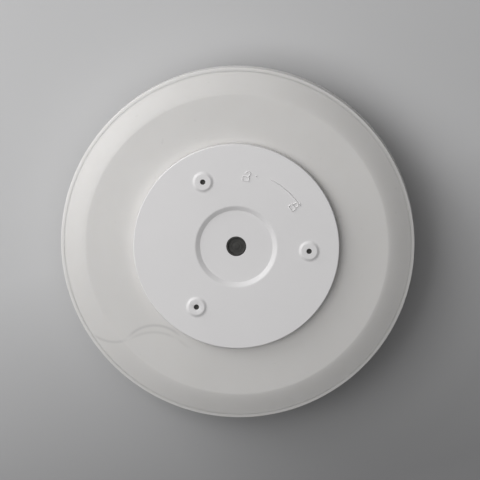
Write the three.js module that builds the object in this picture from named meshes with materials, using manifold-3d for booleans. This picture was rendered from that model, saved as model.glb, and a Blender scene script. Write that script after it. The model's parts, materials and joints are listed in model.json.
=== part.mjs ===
// Round LED ceiling light with a milky diffuser and a stamped steel back plate.
// Millimetres, +Z up towards the ceiling. The origin is the centre of the mounting plane,
// which the tops of the three screw bosses touch; the diffuser hangs below it.
import * as THREE from 'three';
import { mergeVertices } from 'three/addons/utils/BufferGeometryUtils.js';
import Module from 'manifold-3d';

// Driving dimensions
const RIM_RADIUS = 175;            // outside of the diffuser at its rim
const LAMP_HEIGHT = 80;            // mounting plane to the lowest point of the dome
const PLATE_RADIUS = 101.5;        // stamped back plate
const SHEET = 1.0;                 // steel thickness of plate and tray
const BOSS_HEIGHT = 1.3;           // how far the screw bosses stand proud of the plate
const BOSS_CIRCLE = 72;            // radius of the circle through the three screw holes
const BOSS_COUNT = 3;
const DISH_RADIUS = 40;            // central recess at the plate's face
const DISH_DEPTH = 2.6;
const CABLE_HOLE_RADIUS = 9.8;
const SCREW_HOLE_RADIUS = 2.6;
const SKIRT_HEIGHT = 7.9;          // turned-down edge of the plate
const SHELL_WALL = 2.0;            // moulded diffuser wall
const SHOULDER_RADIUS = 149;       // where the diffuser's back starts to fall away
const BACK_FALL = 1.5;             // how far the back slopes down from the plate to the shoulder
const SEAM_Z = -20;                // joint between rear shell and front dome
const DOME_EDGE_Z = -38;           // where the rim wall starts to curve into the dome
const DOME_POWER = 2.5;            // superellipse power of the dome's section
const TRAY_RADIUS = 92;            // gear tray's side wall
const TRAY_FLOOR_Z = -24.5;        // underside of the gear tray
const DRIVER_RADIUS = 44;          // round driver housing
const DRIVER_BOTTOM_Z = -46;
const TWIST_DEG = 30;              // turn of the diffuser between locked and free
const CLEARANCE = 0.3;             // gap between touching pieces

// Heights that follow from the driving dimensions
const PLATE_Z = -BOSS_HEIGHT;
const PLATE_UNDER_Z = PLATE_Z - SHEET;
const DISH_Z = PLATE_Z - DISH_DEPTH;
const SKIRT_Z = PLATE_Z - SKIRT_HEIGHT;
const SHELL_BACK_Z = -10;
const SHOULDER_Z = SHELL_BACK_Z - BACK_FALL;
const SHELL_INNER_Z = SHELL_BACK_Z - SHELL_WALL;
const TRAY_TOP_Z = PLATE_UNDER_Z - CLEARANCE;
const GEAR_Z = TRAY_FLOOR_Z - CLEARANCE;      // top of everything fixed under the tray
const DRIVER_BASE_WALL = 1.6;
const DRIVER_WALL = 1.6;
const DRIVER_BASE_Z = GEAR_Z - DRIVER_BASE_WALL;
const DRIVER_FLOOR_Z = DRIVER_BOTTOM_Z + 1.8;
const CIRCUIT_TOP_Z = -29;
const CIRCUIT_Z = CIRCUIT_TOP_Z - 1.6;
const PART_Z = CIRCUIT_Z - CLEARANCE;         // where components stand on the driver board

// Sides used for round shapes of different size
const LARGE_ROUND = 48;
const MEDIUM_ROUND = 32;
const SMALL_ROUND = 16;
const TINY_ROUND = 10;

const wasm = await Module();
wasm.setup();

// ---- helpers ----

const radians = THREE.MathUtils.degToRad;

function polar(radius, degrees) {
  return [radius * Math.cos(radians(degrees)), radius * Math.sin(radians(degrees))];
}

function signedVolume(position, index) {
  const a = new THREE.Vector3();
  const b = new THREE.Vector3();
  const c = new THREE.Vector3();
  let six = 0;
  for (let i = 0; i < index.length; i += 3) {
    a.fromArray(position, index[i] * 3);
    b.fromArray(position, index[i + 1] * 3);
    c.fromArray(position, index[i + 2] * 3);
    six += a.dot(b.cross(c));
  }
  return six;
}

// A closed three.js geometry as a manifold solid with outward faces.
function solid(geometry) {
  const bare = new THREE.BufferGeometry();
  bare.setAttribute('position', geometry.getAttribute('position'));
  bare.setIndex(geometry.getIndex());
  const merged = mergeVertices(bare, 1e-4);
  const position = merged.getAttribute('position').array;
  const index = merged.getIndex().array;
  const kept = [];
  for (let i = 0; i < index.length; i += 3) {
    const [a, b, c] = [index[i], index[i + 1], index[i + 2]];
    if (a !== b && b !== c && a !== c) {
      kept.push(a, b, c);
    }
  }
  if (signedVolume(position, kept) < 0) {
    for (let i = 0; i < kept.length; i += 3) {
      [kept[i], kept[i + 1]] = [kept[i + 1], kept[i]];
    }
  }
  return new wasm.Manifold(new wasm.Mesh({
    numProp: 3,
    vertProperties: new Float32Array(position),
    triVerts: new Uint32Array(kept),
  }));
}

function joined(first, ...others) {
  return others.reduce((whole, piece) => whole.add(piece), first);
}

function cut(first, ...others) {
  return others.reduce((whole, piece) => whole.subtract(piece), first);
}

// Solid of revolution about Z; the profile is a list of [radius, z], closed on itself or on the axis.
function revolved(profile, sides = LARGE_ROUND) {
  const points = profile.map(([r, z]) => new THREE.Vector2(r, z));
  if (profile[0][0] > 0) {
    points.push(points[0].clone());
  }
  return solid(new THREE.LatheGeometry(points, sides).rotateX(Math.PI / 2));
}

// Upright cylinder or cone between two heights.
function rod(radius, low, high, [x, y] = [0, 0], sides = SMALL_ROUND, topRadius = radius) {
  const geometry = new THREE.CylinderGeometry(topRadius, radius, high - low, sides);
  return solid(geometry.rotateX(Math.PI / 2).translate(x, y, (low + high) / 2));
}

// Cylinder lying along X.
function rodAlongX(radius, from, to, y, z, sides = SMALL_ROUND) {
  const geometry = new THREE.CylinderGeometry(radius, radius, to - from, sides);
  return solid(geometry.rotateZ(Math.PI / 2).translate((from + to) / 2, y, z));
}

// Box from its lowest to its highest corner.
function block([x0, y0, z0], [x1, y1, z1]) {
  const geometry = new THREE.BoxGeometry(x1 - x0, y1 - y0, z1 - z0);
  return solid(geometry.translate((x0 + x1) / 2, (y0 + y1) / 2, (z0 + z1) / 2));
}

// Box of a given size, turned about Z so that its first side runs outward along a radius.
function radialBlock(alongRadius, across, low, high, radius, degrees) {
  const geometry = new THREE.BoxGeometry(alongRadius, across, high - low);
  geometry.translate(radius, 0, (low + high) / 2).rotateZ(radians(degrees));
  return solid(geometry);
}

// Slice of a flat ring.
function ringSector(inner, outer, fromDeg, toDeg, low, high, steps) {
  const shape = new THREE.Shape();
  shape.absarc(0, 0, outer, radians(fromDeg), radians(toDeg), false);
  shape.absarc(0, 0, inner, radians(toDeg), radians(fromDeg), true);
  shape.closePath();
  const settings = { depth: high - low, bevelEnabled: false, curveSegments: steps };
  return solid(new THREE.ExtrudeGeometry(shape, settings).translate(0, 0, low));
}

// Round lead along a smooth route through points.
function lead(route, diameter) {
  const path = new THREE.CatmullRomCurve3(route.map((p) => new THREE.Vector3(...p)));
  const section = new THREE.Shape().absarc(0, 0, diameter / 2, 0, 2 * Math.PI, false);
  const steps = Math.ceil(path.getLength() / (diameter * 2.4));
  const settings = { steps, curveSegments: 4, bevelEnabled: false, extrudePath: path };
  return solid(new THREE.ExtrudeGeometry(section, settings));
}

const looks = {
  whitePaint: { color: 0xe6e6e4, roughness: 0.42, metalness: 0.0 },
  milkyPlastic: { color: 0xe4e3de, roughness: 0.35, metalness: 0.0 },
  clearPlastic: { color: 0xf2f4f4, roughness: 0.2, metalness: 0.0 },
  whitePlastic: { color: 0xe9e9e6, roughness: 0.5, metalness: 0.0 },
  greyPlastic: { color: 0x9a9ca0, roughness: 0.5, metalness: 0.0 },
  orangePlastic: { color: 0xd9772b, roughness: 0.45, metalness: 0.0 },
  blackRubber: { color: 0x2a2a29, roughness: 0.75, metalness: 0.0 },
  whiteFoam: { color: 0xdedede, roughness: 0.95, metalness: 0.0 },
  zincSteel: { color: 0xb9bcc0, roughness: 0.35, metalness: 1.0 },
  brass: { color: 0xc9a552, roughness: 0.3, metalness: 1.0 },
  aluminiumBoard: { color: 0xf0f0ee, roughness: 0.4, metalness: 0.1 },
  greenBoard: { color: 0x1f6b3a, roughness: 0.45, metalness: 0.0 },
  ferrite: { color: 0x3a3a3c, roughness: 0.6, metalness: 0.2 },
  yellowTape: { color: 0xe0c23a, roughness: 0.5, metalness: 0.0 },
  copperWire: { color: 0xb8672f, roughness: 0.35, metalness: 0.9 },
  filmBox: { color: 0xc9b23a, roughness: 0.5, metalness: 0.0 },
  canSleeve: { color: 0x24324a, roughness: 0.35, metalness: 0.0 },
  blackEpoxy: { color: 0x1d1d1f, roughness: 0.5, metalness: 0.0 },
  glass: { color: 0xdfe8ea, roughness: 0.1, metalness: 0.0 },
  redLead: { color: 0xb3241f, roughness: 0.45, metalness: 0.0 },
  blackLead: { color: 0x1b1b1b, roughness: 0.45, metalness: 0.0 },
  brownLead: { color: 0x5f3a22, roughness: 0.45, metalness: 0.0 },
  blueLead: { color: 0x2a57a8, roughness: 0.45, metalness: 0.0 },
  greenLead: { color: 0x3f8f3a, roughness: 0.45, metalness: 0.0 },
};

const lamp = new THREE.Group();

function addPart(name, shape, look) {
  const { vertProperties, triVerts } = shape.getMesh();
  const geometry = new THREE.BufferGeometry();
  geometry.setAttribute('position', new THREE.BufferAttribute(vertProperties, 3));
  geometry.setIndex(new THREE.BufferAttribute(triVerts, 1));
  geometry.computeVertexNormals();
  const mesh = new THREE.Mesh(geometry, new THREE.MeshStandardMaterial(looks[look]));
  mesh.name = name;
  lamp.add(mesh);
}

const bossAngles = Array.from({ length: BOSS_COUNT }, (_, i) => (i * 360) / BOSS_COUNT);
const boardAngles = bossAngles.map((angle) => angle + 180 / BOSS_COUNT);

// ---- back plate ----

const BOSS_BASE_RADIUS = 10.8;
const BOSS_TOP_RADIUS = 7.8;
const PLATE_BEND = 1.6;
const OVERRUN = 0.2;                // how far a cutting shape runs past a surface

// Quarter bend of the plate's edge, on the outer or the inner face of the sheet.
function edgeBend(faceRadius, faceZ, bend, steps) {
  return Array.from({ length: steps + 1 }, (_, i) => {
    const turn = radians(90 - (90 * i) / steps);
    return [faceRadius - bend + bend * Math.cos(turn), faceZ - bend + bend * Math.sin(turn)];
  });
}

// The recess is shallow, with a sloping wall between its floor and the plate's face.
function plateSheet() {
  const floorRadius = DISH_RADIUS - 4.6;
  return revolved([
    [CABLE_HOLE_RADIUS, DISH_Z],
    [floorRadius - 0.2, DISH_Z],
    [floorRadius + 0.8, DISH_Z + 0.2],
    [DISH_RADIUS - 0.2, PLATE_Z - 0.3],
    [DISH_RADIUS + 1.6, PLATE_Z],
    ...edgeBend(PLATE_RADIUS, PLATE_Z, PLATE_BEND, 3),
    [PLATE_RADIUS, SKIRT_Z],
    [PLATE_RADIUS - SHEET, SKIRT_Z],
    ...edgeBend(PLATE_RADIUS - SHEET, PLATE_UNDER_Z, PLATE_BEND - SHEET, 2).reverse(),
    [DISH_RADIUS + 1.8, PLATE_UNDER_Z],
    [DISH_RADIUS + 0.3, PLATE_UNDER_Z - 0.2],
    [floorRadius + 1.3, DISH_Z - SHEET + 0.3],
    [floorRadius + 0.1, DISH_Z - SHEET],
    [CABLE_HOLE_RADIUS, DISH_Z - SHEET],
  ]);
}

function bossOutside(place) {
  return rod(BOSS_BASE_RADIUS, PLATE_Z - SHEET / 2, 0, place, SMALL_ROUND, BOSS_TOP_RADIUS);
}

function bossHollow(place) {
  return joined(
    rod(
      BOSS_BASE_RADIUS - SHEET, PLATE_UNDER_Z - OVERRUN, -SHEET, place, SMALL_ROUND, BOSS_TOP_RADIUS - SHEET,
    ),
    rod(SCREW_HOLE_RADIUS, -SHEET - OVERRUN, OVERRUN, place, 12),
  );
}

const MARK_RADIUS = 75;             // circle of the arc that shows which way the diffuser turns
const MARK_START_DEG = 67;
const MARK_END_DEG = 37;
const MARK_RELIEF = 0.4;
const MARK_LOW = PLATE_Z - MARK_RELIEF;
const MARK_HIGH = PLATE_Z + MARK_RELIEF;

// Small padlock: a body with a shackle, which is swung aside on the open one.
function padlock(radius, degrees, shackleTurn) {
  const [inner, outer] = [1.6, 2.6];
  const legHeight = 2.6;
  const bodyTop = 2;
  const shackle = joined(
    ringSector(inner, outer, 0, 180, MARK_LOW, MARK_HIGH, 5),
    block([-outer, -legHeight, MARK_LOW], [-inner, 0.1, MARK_HIGH]),
    block([inner, -legHeight, MARK_LOW], [outer, 0.1, MARK_HIGH]),
  );
  const swung = shackle
    .translate([-outer, legHeight, 0])
    .rotate([0, 0, shackleTurn])
    .translate([outer, bodyTop - 0.6, 0]);
  const body = block([-3.6, -3.4, MARK_LOW], [3.6, bodyTop, MARK_HIGH]);
  const [x, y] = polar(radius, degrees);
  return joined(body, swung).rotate([0, 0, degrees - 90]).translate([x, y, 0]);
}

function turnArrow() {
  const arc = ringSector(
    MARK_RADIUS - 0.35, MARK_RADIUS + 0.35, MARK_END_DEG, MARK_START_DEG, MARK_LOW, MARK_HIGH, 10,
  );
  const head = new THREE.Shape();
  head.moveTo(-1.8, 1.2);
  head.lineTo(1.8, 1.2);
  head.lineTo(0, -2.4);
  head.closePath();
  const settings = { depth: 2 * MARK_RELIEF, bevelEnabled: false };
  const [x, y] = polar(MARK_RADIUS, MARK_END_DEG);
  const tip = solid(new THREE.ExtrudeGeometry(head, settings))
    .translate([0, 0, MARK_LOW])
    .rotate([0, 0, MARK_END_DEG])
    .translate([x, y, 0]);
  return arc.add(tip);
}

function plateMarks() {
  return joined(
    turnArrow(),
    rod(0.7, MARK_LOW, MARK_HIGH, polar(73, 77), 8),
    padlock(69, 85, 35),
    padlock(68.5, 38.5, 0),
  );
}

function chassisPlate() {
  const places = bossAngles.map((angle) => polar(BOSS_CIRCLE, angle));
  const raised = joined(plateSheet(), ...places.map(bossOutside), plateMarks());
  return cut(raised, ...places.map(bossHollow));
}

// Blind grommet: its closed membrane is pierced when a cable goes in.
function cableGrommet() {
  const top = DISH_Z - 0.4;
  const flangeTop = DISH_Z - SHEET - CLEARANCE;
  const membraneTop = top - 1.4;
  const membraneLow = membraneTop - 0.8;
  return revolved([
    [0, membraneLow],
    [7.2, membraneLow],
    [7.6, flangeTop - 1.7],
    [12.5, flangeTop - 1.7],
    [12.5, flangeTop],
    [CABLE_HOLE_RADIUS - CLEARANCE, flangeTop],
    [CABLE_HOLE_RADIUS - CLEARANCE, top],
    [8.2, top],
    [7.8, membraneTop],
    [3.2, membraneTop],
    [2.8, membraneTop + 0.3],
    [0, membraneTop + 0.3],
  ], 24);
}

// Rubber disc in the hollow of a boss, which seals round the screw that is driven through it.
function screwSeal(place) {
  const top = -SHEET - CLEARANCE;
  const dimple = 1.1;
  return revolved([
    [0, top - 1],
    [6, top - 1],
    [6, top],
    [dimple, top],
    [0, top - 0.5],
  ], SMALL_ROUND).translate([...place, 0]);
}

// ---- gear tray, with the lugs that carry the diffuser ----

const LUG_HALF_DEG = 10;
const LUG_TOP_Z = SHELL_INNER_Z - 0.4;
const LUG_OUTER = 98.3;
const DRIVER_ACCESS_RADIUS = 8;     // holes in the tray that a screwdriver reaches the bosses through
const TRAY_CENTRE_RADIUS = 26;
const BOARD_SCREW_CIRCLE = 53.5;
const BOARD_SCREW_DEG = 30;         // each side of a board's middle
const BOARD_SCREW_SHANK = 1.4;
const EARTH_CIRCLE = 53;
const EARTH_SHANK = 1.9;
const COVER_SCREW_CIRCLE = 49.5;

function trayCup() {
  const wallInner = TRAY_RADIUS - SHEET;
  return revolved([
    [99, TRAY_TOP_Z],
    [99, TRAY_TOP_Z - SHEET],
    [TRAY_RADIUS + 0.5, TRAY_TOP_Z - SHEET],
    [TRAY_RADIUS, TRAY_TOP_Z - SHEET - 0.5],
    [TRAY_RADIUS, TRAY_FLOOR_Z + 1.2],
    [TRAY_RADIUS - 1.2, TRAY_FLOOR_Z],
    [TRAY_CENTRE_RADIUS, TRAY_FLOOR_Z],
    [TRAY_CENTRE_RADIUS, TRAY_FLOOR_Z + SHEET],
    [wallInner - 0.6, TRAY_FLOOR_Z + SHEET],
    [wallInner, TRAY_FLOOR_Z + SHEET + 0.6],
    [wallInner, TRAY_TOP_Z],
  ]);
}

// A lug is a tongue of the side wall bent outward, which leaves a window below it.
function lug(angle) {
  return ringSector(
    TRAY_RADIUS - SHEET / 2, LUG_OUTER, angle - LUG_HALF_DEG, angle + LUG_HALF_DEG,
    LUG_TOP_Z - SHEET, LUG_TOP_Z, 4,
  );
}

function lugWindow(angle) {
  const half = LUG_HALF_DEG - 0.5;
  return ringSector(
    TRAY_RADIUS - 3, TRAY_RADIUS + 1, angle - half, angle + half,
    LUG_TOP_Z - SHEET - 6, LUG_TOP_Z - SHEET - 0.2, 4,
  );
}

function floorHole(radius, place, sides) {
  return rod(radius, TRAY_FLOOR_Z - 1, TRAY_FLOOR_Z + SHEET + 1, place, sides);
}

function boardScrewPlaces() {
  return boardAngles.flatMap((angle) => [
    polar(BOARD_SCREW_CIRCLE, angle - BOARD_SCREW_DEG),
    polar(BOARD_SCREW_CIRCLE, angle + BOARD_SCREW_DEG),
  ]);
}

const lugAngles = boardAngles;
const coverScrewPlaces = [polar(COVER_SCREW_CIRCLE, 120), polar(COVER_SCREW_CIRCLE, 240)];
const earthPlace = [EARTH_CIRCLE, 0];

function gearTray() {
  const smallHoles = [...boardScrewPlaces(), ...coverScrewPlaces];
  return cut(
    joined(trayCup(), ...lugAngles.map(lug)),
    ...lugAngles.map(lugWindow),
    ...bossAngles.map((angle) => floorHole(DRIVER_ACCESS_RADIUS, polar(BOSS_CIRCLE, angle), 20)),
    ...smallHoles.map((place) => floorHole(BOARD_SCREW_SHANK + CLEARANCE, place, TINY_ROUND)),
    floorHole(EARTH_SHANK + CLEARANCE, earthPlace, TINY_ROUND),
  );
}

function foamGasket() {
  const top = TRAY_TOP_Z - SHEET - CLEARANCE;
  const bottom = SHELL_BACK_Z + CLEARANCE;
  return revolved([[96, top], [96, bottom], [99.5, bottom], [99.5, top]]);
}

// ---- diffuser ----

const SHELL_OPENING = 95;
const SHELL_SEAT_RADIUS = 102;      // the shell is level out to here, where the plate covers it
const SHELL_EDGE = RIM_RADIUS - 3.7;
const LIP_INNER = RIM_RADIUS - 3.3; // the dome's wall is thicker where it takes the rear shell
const DOME_INNER = RIM_RADIUS - 2.2;
const NOTCH_HALF_DEG = 13;
const STOP_RIB_DEG = 1.2;

// Shoulder of the rear shell as a cubic curve; inset moves it inward by a wall thickness.
function shoulder(inset, steps) {
  const curve = new THREE.CubicBezierCurve(
    new THREE.Vector2(SHOULDER_RADIUS - 0.3 * inset, SHOULDER_Z - inset),
    new THREE.Vector2(SHOULDER_RADIUS + 5 - 0.4 * inset, SHOULDER_Z - 0.5 - inset),
    new THREE.Vector2(SHELL_EDGE - 7 - 0.6 * inset, SHOULDER_Z - 5.2 - inset),
    new THREE.Vector2(SHELL_EDGE - inset, SEAM_Z - 0.4 * inset),
  );
  return curve.getPoints(steps).map((p) => [p.x, p.y]);
}

function rearShellWall() {
  const flangeZ = SEAM_Z - 6;
  return revolved([
    [SHELL_OPENING, SHELL_BACK_Z],
    [SHELL_SEAT_RADIUS, SHELL_BACK_Z],
    ...shoulder(0, 7),
    [SHELL_EDGE, flangeZ],
    [SHELL_EDGE - SHELL_WALL, flangeZ],
    ...shoulder(SHELL_WALL, 5).reverse(),
    [SHELL_SEAT_RADIUS, SHELL_INNER_Z],
    [SHELL_OPENING, SHELL_INNER_Z],
  ]);
}

function notch(angle) {
  return ringSector(
    SHELL_OPENING - 3, LUG_OUTER + 1, angle - NOTCH_HALF_DEG, angle + NOTCH_HALF_DEG,
    SHELL_INNER_Z - 2, SHELL_BACK_Z + 1, 5,
  );
}

// Rib under the shell's lip that meets the end of a lug when the diffuser is locked.
function stopRib(angle) {
  const end = angle + LUG_HALF_DEG + 0.3;
  return ringSector(
    SHELL_OPENING + 0.5, LUG_OUTER + 0.5, end, end + STOP_RIB_DEG,
    LUG_TOP_Z - SHEET - 1, SHELL_INNER_Z + 0.2, 2,
  );
}

function rearShell() {
  const body = joined(rearShellWall(), ...lugAngles.map(stopRib));
  return cut(body, ...lugAngles.map((angle) => notch(angle - TWIST_DEG)));
}

// Superellipse arc of the dome's section, from its rim down to the axis.
function domeArc(radius, depth, steps) {
  return Array.from({ length: steps + 1 }, (_, i) => {
    const turn = (Math.PI / 2) * (i / steps);
    const across = radius * Math.cos(turn) ** (2 / DOME_POWER);
    return [i === steps ? 0 : across, DOME_EDGE_Z - depth * Math.sin(turn) ** (2 / DOME_POWER)];
  });
}

function frontDome() {
  const depth = LAMP_HEIGHT + DOME_EDGE_Z;
  const lipZ = SEAM_Z + 0.4;
  return revolved([
    ...domeArc(DOME_INNER, depth - SHELL_WALL - 0.2, 9).reverse(),
    [DOME_INNER, SEAM_Z - 8],
    [LIP_INNER, SEAM_Z - 7],
    [LIP_INNER, lipZ],
    [RIM_RADIUS - 1.8, lipZ - 0.4],
    [RIM_RADIUS, lipZ - 2],
    ...domeArc(RIM_RADIUS, depth, 12),
  ]);
}

// ---- light engine ----

const BOARD_INNER = 50;
const BOARD_OUTER = 86;
const BOARD_HALF_DEG = 48;
const BOARD_Z = GEAR_Z - 1.6;
const LED_CIRCLE = 68;
const LEDS_PER_BOARD = 8;
const LED_STEP_DEG = 11.5;
const LENS_TOP_Z = BOARD_Z - 1.2;
const LENS_SHEET_Z = LENS_TOP_Z - 1.2;
const LENS_DOME_RADIUS = 6.4;

function ledAngles(middle) {
  return Array.from({ length: LEDS_PER_BOARD }, (_, i) => {
    return middle + (i - (LEDS_PER_BOARD - 1) / 2) * LED_STEP_DEG;
  });
}

function ledBoard(middle) {
  const sheet = ringSector(
    BOARD_INNER, BOARD_OUTER, middle - BOARD_HALF_DEG, middle + BOARD_HALF_DEG, BOARD_Z, GEAR_Z, 12,
  );
  const chips = ledAngles(middle).map((angle) => {
    return radialBlock(2.8, 3.5, BOARD_Z - 0.8, BOARD_Z + 0.4, LED_CIRCLE, angle);
  });
  const holes = [-BOARD_SCREW_DEG, BOARD_SCREW_DEG].map((side) => {
    const place = polar(BOARD_SCREW_CIRCLE, middle + side);
    return rod(BOARD_SCREW_SHANK + CLEARANCE, BOARD_Z - 1, GEAR_Z + 1, place, TINY_ROUND);
  });
  return cut(joined(sheet, ...chips), ...holes);
}

// Lens over one LED: a shallow cap under the sheet.
function lensDome(angle) {
  const [x, y] = polar(LED_CIRCLE, angle);
  const profile = [
    [0, LENS_SHEET_Z + 0.5],
    [LENS_DOME_RADIUS, LENS_SHEET_Z + 0.5],
    [LENS_DOME_RADIUS, LENS_SHEET_Z - 0.4],
    [LENS_DOME_RADIUS * 0.72, LENS_SHEET_Z - 2.4],
    [0, LENS_SHEET_Z - 3.5],
  ];
  return revolved(profile, TINY_ROUND).translate([x, y, 0]);
}

function lensCover(middle) {
  const half = BOARD_HALF_DEG - 2;
  const sheet = ringSector(58, 78, middle - half, middle + half, LENS_SHEET_Z, LENS_TOP_Z, 12);
  const posts = [-42, 0, 42].map((side) => {
    return rod(1.2, LENS_SHEET_Z + 0.2, BOARD_Z - CLEARANCE, polar(60.5, middle + side), 8);
  });
  return joined(sheet, ...ledAngles(middle).map(lensDome), ...posts);
}

// Pan-head screw pointing up, with its head under a surface at headTop.
function panScrew(place, headTop, headRadius, headHeight, shank, tip) {
  return joined(
    rod(headRadius * 0.8, headTop - headHeight, headTop, place, 12, headRadius),
    rod(shank, headTop - 0.2, tip, place, 8),
  ).subtract(block(
    [place[0] - headRadius, place[1] - 0.4, headTop - headHeight - 1],
    [place[0] + headRadius, place[1] + 0.4, headTop - headHeight + 0.7],
  ));
}

const CONNECTOR_CIRCLE = 54;
const connectorAngles = [16, 104, 136, 224, 256];

function boardConnector(angle) {
  const top = BOARD_Z - CLEARANCE;
  const body = radialBlock(5, 6, top - 4, top, CONNECTOR_CIRCLE, angle);
  const mouth = radialBlock(3, 3, top - 3, top - 1, CONNECTOR_CIRCLE, angle);
  return body.subtract(mouth.translate([0, 0, -1.6]));
}

// Lead between the connectors at the facing ends of two boards.
function jumperRoute(fromDeg, toDeg) {
  const z = BOARD_Z - 2.3;
  const edge = 3.6;
  const middle = (fromDeg + toDeg) / 2;
  return [
    [...polar(CONNECTOR_CIRCLE + 0.3, fromDeg + edge), z],
    [...polar(CONNECTOR_CIRCLE + 2.5, fromDeg + edge + 4), z - 0.4],
    [...polar(CONNECTOR_CIRCLE + 4.5, middle), z - 0.8],
    [...polar(CONNECTOR_CIRCLE + 2.5, toDeg - edge - 4), z - 0.4],
    [...polar(CONNECTOR_CIRCLE + 0.3, toDeg - edge), z],
  ];
}

// ---- driver housing ----

const TERMINAL_LOW = [-15, 17, -40];
const TERMINAL_HIGH = [15, 31, DRIVER_BASE_Z - CLEARANCE];
const WINDOW_LOW = [-20, 12];
const WINDOW_HIGH = [20, 34];
const CLAMP_X = 9.5;
const CLAMP_Y = 11;
const CLAMP_TOP_Z = -34;
const HINGE_Y = 36;
const HINGE_Z = DRIVER_BOTTOM_Z - 2;
const HINGE_PIN_RADIUS = 0.8;
const CIRCUIT_EDGE_Y = -6;

function driverBase() {
  const plate = rod(DRIVER_RADIUS, DRIVER_BASE_Z, GEAR_Z, [0, 0], MEDIUM_ROUND);
  const clampPosts = [-CLAMP_X, CLAMP_X].map((x) => {
    return rod(3, CLAMP_TOP_Z + CLEARANCE, DRIVER_BASE_Z + 0.2, [x, CLAMP_Y], SMALL_ROUND);
  });
  const clampPilots = [-CLAMP_X, CLAMP_X].map((x) => {
    return rod(1.6, CLAMP_TOP_Z - 1, DRIVER_BASE_Z - 0.5, [x, CLAMP_Y], TINY_ROUND);
  });
  const boardPosts = [[-30, -14], [30, -16], [-10, -36], [10, -36]].map((place) => {
    return rod(2.2, CIRCUIT_TOP_Z + CLEARANCE, DRIVER_BASE_Z + 0.2, place, TINY_ROUND);
  });
  const cableHole = rod(7, DRIVER_BASE_Z - 1, GEAR_Z + 1, [0, 0], 20);
  return cut(joined(plate, ...clampPosts, ...boardPosts), cableHole, ...clampPilots);
}

function coverEar(angle) {
  const ear = radialBlock(12, 11, GEAR_Z - 2, GEAR_Z, COVER_SCREW_CIRCLE - 1, angle);
  const neck = radialBlock(2.4, 11, DRIVER_BASE_Z - 4, GEAR_Z, DRIVER_RADIUS + 1.3, angle);
  return ear.add(neck).subtract(rod(DRIVER_RADIUS + 0.2, DRIVER_BASE_Z - 0.2, 0, [0, 0], MEDIUM_ROUND));
}

function coverCup() {
  const rimZ = DRIVER_BASE_Z - CLEARANCE;
  return revolved([
    [0, DRIVER_FLOOR_Z],
    [DRIVER_RADIUS - DRIVER_WALL - 1, DRIVER_FLOOR_Z],
    [DRIVER_RADIUS - DRIVER_WALL, DRIVER_FLOOR_Z + 1],
    [DRIVER_RADIUS - DRIVER_WALL, rimZ],
    [DRIVER_RADIUS, rimZ],
    [DRIVER_RADIUS, DRIVER_BOTTOM_Z + 2],
    [DRIVER_RADIUS - 2, DRIVER_BOTTOM_Z],
    [0, DRIVER_BOTTOM_Z],
  ], MEDIUM_ROUND);
}

// Ear that holds one end of the lid's hinge pin.
function hingeEar(from, to) {
  const web = block([from, HINGE_Y - 1.7, HINGE_Z], [to, HINGE_Y + 1.7, DRIVER_BOTTOM_Z + 0.3]);
  const round = rodAlongX(1.7, from, to, HINGE_Y, HINGE_Z, 12);
  return web.add(round);
}

function driverCover() {
  const ears = [120, 240].map(coverEar);
  const hingeEars = [hingeEar(-17.5, -14.5), hingeEar(14.5, 17.5)];
  const window = block(
    [WINDOW_LOW[0], WINDOW_LOW[1], DRIVER_BOTTOM_Z - 1],
    [WINDOW_HIGH[0], WINDOW_HIGH[1], DRIVER_FLOOR_Z + 1],
  );
  const leadSlots = [[16, 9], [2, 5]].map(([angle, width]) => {
    return radialBlock(6, width, -31.5, DRIVER_BASE_Z + 1, DRIVER_RADIUS - 1, angle);
  });
  const screwHoles = coverScrewPlaces.map((place) => {
    return rod(BOARD_SCREW_SHANK + CLEARANCE, GEAR_Z - 3, GEAR_Z + 1, place, TINY_ROUND);
  });
  const pinHole = rodAlongX(HINGE_PIN_RADIUS + CLEARANCE, -20, 20, HINGE_Y, HINGE_Z, 8);
  return cut(joined(coverCup(), ...ears, ...hingeEars), window, ...leadSlots, ...screwHoles, pinHole);
}

function terminalLid() {
  const top = DRIVER_BOTTOM_Z - CLEARANCE;
  const panel = block([-21.5, 11, top - 1.6], [21.5, HINGE_Y - 1.9, top]);
  const arm = block([-14, HINGE_Y - 2.2, top - 1.6], [14, HINGE_Y, top - 0.4]);
  const barrel = rodAlongX(1.6, -14, 14, HINGE_Y, HINGE_Z, 12);
  const hook = block([-4, 13.4, top - 0.2], [4, 14.8, DRIVER_FLOOR_Z + 1.2]);
  const rib = block([-12, 11, top - 3], [12, 12.4, top - 1.4]);
  const bore = rodAlongX(HINGE_PIN_RADIUS + CLEARANCE, -15, 15, HINGE_Y, HINGE_Z, 8);
  return cut(joined(panel, arm, barrel, hook, rib), bore);
}

function driverCircuit() {
  const radius = 40;
  const start = Math.asin(CIRCUIT_EDGE_Y / radius);
  const shape = new THREE.Shape();
  shape.absarc(0, 0, radius, Math.PI - start, 2 * Math.PI + start, false);
  shape.closePath();
  const settings = { depth: CIRCUIT_TOP_Z - CIRCUIT_Z, bevelEnabled: false, curveSegments: 24 };
  return solid(new THREE.ExtrudeGeometry(shape, settings).translate(0, 0, CIRCUIT_Z));
}

const terminalX = [-9, 0, 9];
const BUTTON_Y = 26;
const BUTTON_HALF = 2.5;
const BUTTON_TRAVEL = 1.6;
const BUTTON_PROUD = 2.2;

function terminalBlock() {
  const bottom = TERMINAL_LOW[2];
  const pockets = terminalX.map((x) => block(
    [x - BUTTON_HALF - CLEARANCE, BUTTON_Y - BUTTON_HALF - CLEARANCE, bottom - 1],
    [x + BUTTON_HALF + CLEARANCE, BUTTON_Y + BUTTON_HALF + CLEARANCE, bottom + 6],
  ));
  const entries = terminalX.map((x) => {
    const hole = new THREE.CylinderGeometry(1.7, 1.7, 9, 12);
    return solid(hole.translate(x, TERMINAL_LOW[1] + 3.5, -31.5));
  });
  return cut(block(TERMINAL_LOW, TERMINAL_HIGH), ...pockets, ...entries);
}

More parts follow.
